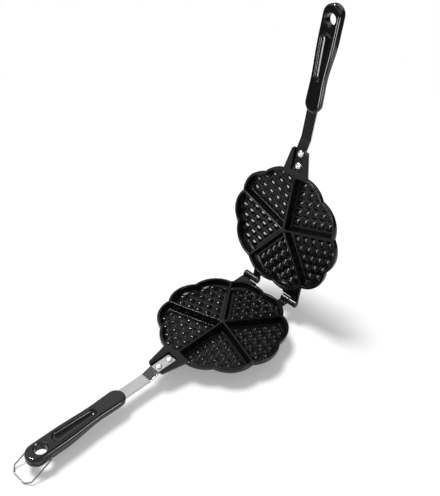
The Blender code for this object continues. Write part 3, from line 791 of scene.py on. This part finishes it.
def buildStrap(s, look):
    path = pathObject("strap", [(0, y, z - s["thickness"] / 2) for y, z in s["path"]])
    alongPath(look, s["fold"], Width=s["width"], Height=s["thickness"], Corner=s["corner"]).use(path)
    return settled(bevel(path, s["endEdge"], s["endEdgeSteps"]))


rivet = {
    "places": (-0.1075, -0.1268),  # y of each
    "seat": -0.004,  # z of the strap's top
    "head": 0.0050,
    "height": 0.0024,
    "domeSteps": 10,
    "dimple": 0.0014,
    "dimpleDepth": 0.0005,
    "dimpleSteps": 5,
    "shank": 0.0024,
    "tail": (0.0040, -0.0098, 0.0014),  # radius, seat and height of the formed end
    "tailSteps": 6,
    "segments": 40,
}


def buildRivets(r, look):
    top, crown, count = r["seat"] + r["height"], r["head"] - r["dimple"], r["dimpleSteps"]
    waves = [(i / count, (1 + math.cos(halfTurn * i / count)) / 2) for i in range(count)]
    dimple = [(r["dimple"] * x, top - r["dimpleDepth"] * y) for x, y in waves]
    dome = [(r["dimple"] + crown * (1 - x), top - r["height"] * y) for x, y in arcSteps(r["domeSteps"])]
    width, seat, drop = r["tail"]
    tail = [(width * (1 - y), seat - drop * (1 - x)) for x, y in arcSteps(r["tailSteps"])]
    profile = dimple + dome + [(r["shank"], r["seat"]), (r["shank"], seat), *tail]
    item = turned("rivet", profile, r["segments"])
    places = pathObject("rivets", [(0, y, 0) for y in r["places"]])
    onPoints(look, item).use(places)
    bpy.data.objects.remove(item)
    return places


pin = {
    "shank": 0.0023,
    "head": 0.0036,
    "height": 0.0014,
    "gap": 0.0003,  # between each head and its knuckle
    "domeSteps": 6,
    "segments": 32,
}


def buildPins(p, h, look):
    low, high = -p["gap"], 2 * h["knuckle"] + h["gap"] + p["gap"]
    dome = [(p["head"] * (1 - x), p["height"] * (1 - y)) for x, y in arcSteps(p["domeSteps"])]
    profile = [(r, low - z) for r, z in dome] + [(p["shank"], low), (p["shank"], high)]
    profile += [(r, high + z) for r, z in reversed(dome)]
    item = moved(turned("pin", profile, p["segments"]), turn=(0, quarterTurn, 0))
    places = pathObject("pins", [(start, h["y"], 0) for start in pairStarts])
    onPoints(look, item).use(places)
    bpy.data.objects.remove(item)
    return places


bail = {
    "wire": 0.0009,
    "hold": 0.0116,  # x of its ends in the grip
    "halfWidth": 0.0180,
    "reach": 0.04265,
    "shoulder": 0.0068,
    "crossbar": 0.0108,
    "bend": 0.0025,
    "pivot": (-0.316, -0.01205),
    "height": 0.02045,  # of the pivot over the table
    "clear": 0.0003,  # between its crossbar and the table
    "holeGap": 0.0004,  # round the wire and past its end
    "holeSegments": 24,
}


def buildBail(b, look):
    shoulder = b["shoulder"] - b["reach"]
    side = [(b["hold"], 0), (b["halfWidth"], 0), (b["halfWidth"], shoulder), (b["crossbar"], -b["reach"])]
    corners = side + [(-x, y) for x, y in reversed(side)]
    wire = pathObject("bail", [(x, y, 0) for x, y in corners])
    alongPath(look, b["bend"], Radius=b["wire"]).use(wire)
    hang = math.asin((b["height"] - b["wire"] - b["clear"]) / b["reach"])
    return moved(wire, (0, *b["pivot"]), (hang, 0, 0))


grip = {
    "nose": -0.1895,  # y, as the next three are
    "tail": -0.34094,
    "waist": -0.236,
    "swell": -0.292,
    "face": -0.0048,
    "thickness": 0.01445,
    "noseThickness": 0.0102,
    "tailWidth": 0.0148,  # half widths, at the tail, the waist and the nose
    "waistWidth": 0.0127,
    "noseWidth": 0.0136,
    "edge": 0.004,
    "edgeSteps": 8,
    "endSteps": 14,
    "sideSteps": 30,
    "hole": (-0.320, 0.0082),  # y and radius
    "holeBevel": 0.0018,
    "holeEdge": 0.0006,
    "holeSegments": 56,
    "groove": ((-0.293, 0.009), (-0.2415, 0.006)),  # y and radius of each end
    "grooveDepth": 0.0048,
    "grooveEdge": 0.0009,
    "grooveSteps": 24,
    "dishSteps": 14,
    "dishEnd": 0.03,  # share of the groove's width that stays flat
    "slot": (0.0093, -0.2293),  # half width and y of its inner end
    "slotDepths": (-0.012, -0.0084),
    "screwY": -0.212,
    "screwHole": 0.0041,
    "screwSeat": 0.0022,
    "screwSegments": 40,
}


def ease(share):
    share = min(1, max(0, share))
    return share * share * (3 - 2 * share)


def gripBack(g, y):
    share = ease((y - g["swell"]) / (g["waist"] - g["swell"]))
    return g["face"] - g["thickness"] + share * (g["thickness"] - g["noseThickness"])


def gripHalfWidth(g, y):
    if y < g["waist"]:
        share = ease((y - g["swell"]) / (g["waist"] - g["swell"]))
        return g["tailWidth"] + share * (g["waistWidth"] - g["tailWidth"])
    share = ease((y - g["waist"]) / (g["nose"] - g["noseWidth"] - g["waist"]))
    return g["waistWidth"] + share * (g["noseWidth"] - g["waistWidth"])


def gripOutline(g, inset):
    tail, nose, count = g["tail"] + g["tailWidth"], g["nose"] - g["noseWidth"], g["sideSteps"]
    side = arc((0, tail), g["tailWidth"] - inset, -quarterTurn, 0, g["endSteps"])
    for i in range(1, count):
        y = tail + (nose - tail) * i / count
        side.append(Vector((gripHalfWidth(g, y) - inset, y)))
    side += arc((0, nose), g["noseWidth"] - inset, 0, quarterTurn, g["endSteps"])
    return side + [Vector((-p.x, p.y)) for p in reversed(side[1:-1])]


def grooveOutline(g, share, grow):
    # Two circles of unlike size and the lines that touch both, drawn in to a share of their width.
    (rearY, rear), (frontY, front) = g["groove"]
    rear, front = rear * share + grow, front * share + grow
    lean, count = math.asin((rear - front) / (frontY - rearY)), g["grooveSteps"]
    rearEnd = arc((0, rearY), rear, -halfTurn - lean, lean, count)
    return rearEnd + arc((0, frontY), front, lean, halfTurn - lean, count)


def buildGroove(g):
    # Rounded lips, then a floor dished over the whole width.
    face, edge, depth = g["face"], g["grooveEdge"], g["grooveDepth"] - g["grooveEdge"]
    levels = [(1, edge, face + meshing["overrun"])]
    levels += [(1, edge * x, face - edge * y) for x, y in arcSteps()]
    for x, y in arcSteps(g["dishSteps"])[1:]:
        levels.append((max(g["dishEnd"], 1 - y), 0, face - edge - depth * (1 - x)))
    return loft("groove", [ring(grooveOutline(g, share, grow), z) for share, grow, z in levels])


def buildHangingHole(g):
    (y, radius), face, over = g["hole"], g["face"], meshing["overrun"]
    wide, back = radius + g["holeBevel"], gripBack(g, y)
    mouth = [(wide + over, face), (wide, face), (radius, face - g["holeBevel"])]
    mouth.append((radius, (face + back) / 2))
    curve = [(p.x, p.y) for p in rounded(mouth, (g["holeEdge"], 2 * g["holeEdge"]))[1:-1]]
    profile = [(0, face + over), (curve[0][0], face + over), *curve]
    profile += [(r, face + back - z) for r, z in reversed(profile)]
    return moved(turned("hangingHole", profile, g["holeSegments"]), (0, y, 0))


def buildSlot(g):
    (width, end), mouth = g["slot"], g["nose"] + meshing["overrun"]
    outline = [(-width, end), (width, end), (width, mouth), (-width, mouth)]
    return loft("slot", [ring(outline, z) for z in g["slotDepths"]])


def buildScrewWell(g):
    radius, bottom = g["screwHole"], gripBack(g, g["screwY"])
    low, high = bottom - meshing["overrun"], bottom + g["screwSeat"]
    well = turned("screwWell", [(0, low), (radius, low), (radius, high), (0, high)], g["screwSegments"])
    return moved(well, (0, g["screwY"], 0))


def buildBailHole(g, b, side):
    start, radius = b["hold"] - b["holeGap"], b["wire"] + b["holeGap"]
    end = start + 2 * meshing["overrun"] + g["edge"]
    hole = turned("bailHole", [(0, start), (radius, start), (radius, end), (0, end)], b["holeSegments"])
    return moved(hole, (0, *b["pivot"]), (0, side * quarterTurn, 0))


def buildGrip(g, bailHoles):
    front, rear = [], []
    for x, y in arcSteps(g["edgeSteps"]):
        outline = gripOutline(g, g["edge"] * x)
        front.append(ring(outline, g["face"] - g["edge"] * y))
        rear.append([Vector((p.x, p.y, gripBack(g, p.y) + g["edge"] * y)) for p in outline])
    made = loft("grip", front + rear[::-1])
    cut = [buildGroove(g), buildHangingHole(g), buildSlot(g), buildScrewWell(g)]
    if bailHoles:
        cut += [buildBailHole(g, bail, side) for side in (-1, 1)]
    for tool in cut:
        boolean(made, tool, "DIFFERENCE")
    return settled(made)


screw = {
    "head": 0.0038,
    "height": 0.0015,
    "sink": 0.0004,  # of the head below the grip's back
    "shank": 0.002,
    "end": -0.0074,
    "slot": 0.0005,  # half its width
    "slotDepth": 0.0007,
    "edge": 0.0004,
    "segments": 40,
}


def buildScrew(s, g):
    bottom, edge = gripBack(g, g["screwY"]) + s["sink"], s["edge"]
    seat = bottom + s["height"]
    profile = [(0, bottom)] + [(s["head"] - edge * x, bottom + edge * y) for x, y in arcSteps()]
    profile += [(s["head"], seat), (s["shank"], seat), (s["shank"], s["end"]), (0, s["end"])]
    made = turned("screw", profile, s["segments"])
    wide = 2 * s["head"]
    outline = [(-wide, -s["slot"]), (wide, -s["slot"]), (wide, s["slot"]), (-wide, s["slot"])]
    slot = loft("driverSlot", [ring(outline, z) for z in (bottom - s["height"], bottom + s["slotDepth"])])
    return moved(settled(boolean(made, slot, "DIFFERENCE")), (0, g["screwY"], 0))


baseHeight = -stand["foot"][1]
lowerPlace = Matrix.Translation((0, 0, baseHeight))
aboutHinge = Matrix.Translation((0, hinge["y"], baseHeight)) @ Matrix.Rotation(-openAngle, 4, "X")
upperPlace = aboutHinge @ Matrix.Translation((0, -hinge["y"], 0)) @ Matrix.Rotation(halfTurn, 4, "Y")
sides = {"lower": lowerPlace, "upper": upperPlace}


def finished(name, source, place, look, body, replaced):
    # One piece in its place: its own copy of the mesh, flat faces kept flat, on its body.
    mesh = source.data.copy()
    mesh.transform(place)
    mesh.materials.clear()
    mesh.materials.append(look)
    mesh.polygons.foreach_set("material_index", [0] * len(mesh.polygons))
    mesh.shade_smooth()
    mesh.set_sharp_from_angle(angle=math.radians(meshing["sharpFrom"]))
    piece = placed(name, mesh)
    step = piece.modifiers.new("flats", "WEIGHTED_NORMAL")
    step.weight, step.keep_sharp = meshing["flatWeight"], True
    settled(piece)
    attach(piece, body)
    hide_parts(*replaced)


def halfPiece(label, source, pair, slot, *nodes):
    # Puts a piece in both halves, then clears away the one it was copied from.
    for (side, place), look in zip(sides.items(), pair):
        replaced = [f"{side}_{node}" for node in nodes]
        finished(side + label, source, place, look, f"{side}_half", replaced)
    bpy.data.objects.remove(source)


def singlePiece(name, source, place, look, body, slot, *nodes):
    finished(name, source, place, look, body, nodes)
    bpy.data.objects.remove(source)


halfPiece("Casting", buildCasting(casting, hinge), [looks["coating"]] * 2, "coated_casting", "plate")
print("castings built")
model = buildStrap(strap, looks["lowerStrap"])
halfPiece("Strap", model, [looks["lowerStrap"], looks["upperStrap"]], "strap_steel", "strap")
model = buildRivets(rivet, looks["rivet"])
halfPiece("Rivets", model, [looks["rivet"]] * 2, "rivet_steel", "rivet_inner", "rivet_outer")
halfPiece("GripScrew", buildScrew(screw, grip), [looks["screw"]] * 2, "screw_steel", "grip_screw")
print("straps, rivets and screws built")
for side, place in sides.items():
    model, body, node = buildGrip(grip, bailHoles=side == "lower"), f"{side}_half", f"{side}_grip"
    singlePiece(f"{side}Grip", model, place, looks["plastic"], body, "grip_plastic", node)
print("grips built")
model, nodes = buildPins(pin, hinge, looks["pin"]), ("hinge_pin_left", "hinge_pin_right")
singlePiece("hingePins", model, lowerPlace, looks["pin"], "lower_half", "pin_steel", *nodes)
model = buildBail(bail, looks["wire"])
singlePiece("latchBail", model, lowerPlace, looks["wire"], "bail", "bail_wire", "latch_bail")
print("hinge pins and bail built")

studio = {
    "floor": ((-0.95, -0.42), (0.95, 0.95)),  # its front edge keeps the upright strap's reflection dark
    "floorColour": 0.82,
    "floorRoughness": 0.9,
    "floorWhite": 0.28,  # share of plain white that the camera and reflections see in the floor
    "worldLight": 0.42,
    # The bright band that reflections see. Its edges are heights of a direction, 1 being straight up.
    "skyFrom": 0.22,
    "skyFull": 0.45,
    "dimFrom": 0.76,
    "dimTo": 0.84,
    "band": 0.95,
    "dim": 0.035,
    "keyFrom": (-0.40, -0.02, 0.915),
    "keyStrength": 3.4,
    # Degrees across. The key is broad where it lights and casts shadows, and small where it is mirrored.
    "keyAngle": 22,
    "glintAngle": 8,
}
# Lamps that only show in reflections, each on its own pieces.
glints = {
    "rightRim": {
        "place": (1.0, 0.22, 0.75), "size": 0.35, "energy": 5.0, "on": ("lowerGrip", "lowerCasting"),
    },
    "sideRim": {
        "place": (1.05, -0.10, 0.20), "size": 0.35, "energy": 5.5, "on": ("upperGrip",),
    },
    "frontRim": {
        "place": (0.10, -1.00, 0.20), "size": 0.45, "energy": 8.0, "on": ("upperGrip",),
    },
    "rightStuds": {
        "place": (0.22, -1.05, 0.50), "size": 0.45, "energy": 14.0, "on": ("upperCasting", "upperRivets"),
    },
    "highStuds": {
        "place": (-0.18, -0.82, 1.02), "size": 0.50, "energy": 22.0, "on": ("upperCasting",),
    },
    "frontFlats": {
        "place": (-0.45, -0.62, 0.03), "size": 0.40, "energy": 0.4, "on": ("upperCasting",),
    },
}


def addFloor(s):
    (left, front), (right, back) = s["floor"]
    mesh = bpy.data.meshes.new("floor")
    corners = [(left, front, 0), (right, front, 0), (right, back, 0), (left, back, 0)]
    mesh.from_pydata(corners, [], [(0, 1, 2, 3)])
    floor = placed("floor", mesh)
    colour = (s["floorColour"],) * 3 + (1,)
    look = Look("paleFloor", Roughness=s["floorRoughness"], Specular_IOR_Level=0.0, Base_Color=colour)
    rays = look.node("ShaderNodeLightPath", output="Is Camera Ray")
    seen = rays + rays.also("Is Glossy Ray") + rays.also("Is Transmission Ray")
    glow = look.node("ShaderNodeEmission", {"Color": (1, 1, 1, 1), "Strength": 1.0})
    surfaces = {0: seen * s["floorWhite"], 1: Link(look, look.shader.outputs[0]), 2: glow}
    mixed = look.node("ShaderNodeMixShader", surfaces)
    look.feed(look.tree.nodes["Material Output"].inputs["Surface"], mixed)
    mesh.materials.append(look.material)


def addWorld(s):
    # White for the camera. Reflections see a bright band round the set, dim below and overhead.
    world = bpy.data.worlds.new("studio")
    bpy.context.scene.world = world
    world.use_nodes = True
    sky = Graph(world.node_tree)
    rays = sky.node("ShaderNodeLightPath", output="Is Camera Ray")
    glossy = rays.also("Is Glossy Ray")
    where = sky.node("ShaderNodeTexCoord", output="Generated")
    height = sky.node("ShaderNodeSeparateXYZ", {0: where}, "Z")

    def edge(start, end, before, after):
        span = {"From Min": s[start], "From Max": s[end], "To Min": s[before], "To Max": s[after]}
        return sky.node("ShaderNodeMapRange", {"Value": height, **span}, interpolation_type="SMOOTHSTEP")

    rise, fall = edge("skyFrom", "skyFull", "dim", "band"), edge("dimFrom", "dimTo", "band", "dim")
    mirrored = sky.node("ShaderNodeMath", {0: rise, 1: fall}, operation="MINIMUM")
    seen = sky.node("ShaderNodeMath", {0: rays, 1: rays.also("Is Transmission Ray")}, operation="MAXIMUM")
    level = seen + (1 - seen) * (glossy * mirrored + (1 - glossy) * s["worldLight"])
    backdrop = sky.tree.nodes["Background"]
    sky.feed(backdrop.inputs["Color"], (1, 1, 1, 1))
    sky.feed(backdrop.inputs["Strength"], level)


def addLamp(name, kind, place, target, **settings):
    data = bpy.data.lights.new(name, kind)
    for key, value in settings.items():
        setattr(data, key, value)
    lamp = placed(name, data)
    aim = (Vector(target) - Vector(place)).to_track_quat("-Z", "Y")
    lamp.matrix_world = Matrix.Translation(place) @ aim.to_matrix().to_4x4()
    return lamp


def addKey(s, name, angle):
    shine = {"energy": s["keyStrength"], "angle": math.radians(s[angle])}
    return addLamp(name, "SUN", s["keyFrom"], (0, 0, 0), **shine)


def addGlint(name, g):
    lit = bpy.data.collections.new(name)
    for piece in g["on"]:
        lit.objects.link(bpy.data.objects[piece])
    corners = [Vector(corner) for piece in lit.objects for corner in piece.bound_box]
    middle = sum(corners, Vector()) / len(corners)
    lamp = addLamp(name, "AREA", g["place"], middle, shape="DISK", size=g["size"], energy=g["energy"])
    lamp.visible_camera = lamp.visible_diffuse = False
    lamp.light_linking.receiver_collection = lit


addFloor(studio)
addWorld(studio)
addKey(studio, "key", "keyAngle").visible_glossy = False
addKey(studio, "keyGlint", "glintAngle").visible_diffuse = False
for name, glint in glints.items():
    addGlint(name, glint)
bpy.context.scene.view_settings.view_transform = "Standard"
print("studio lit")
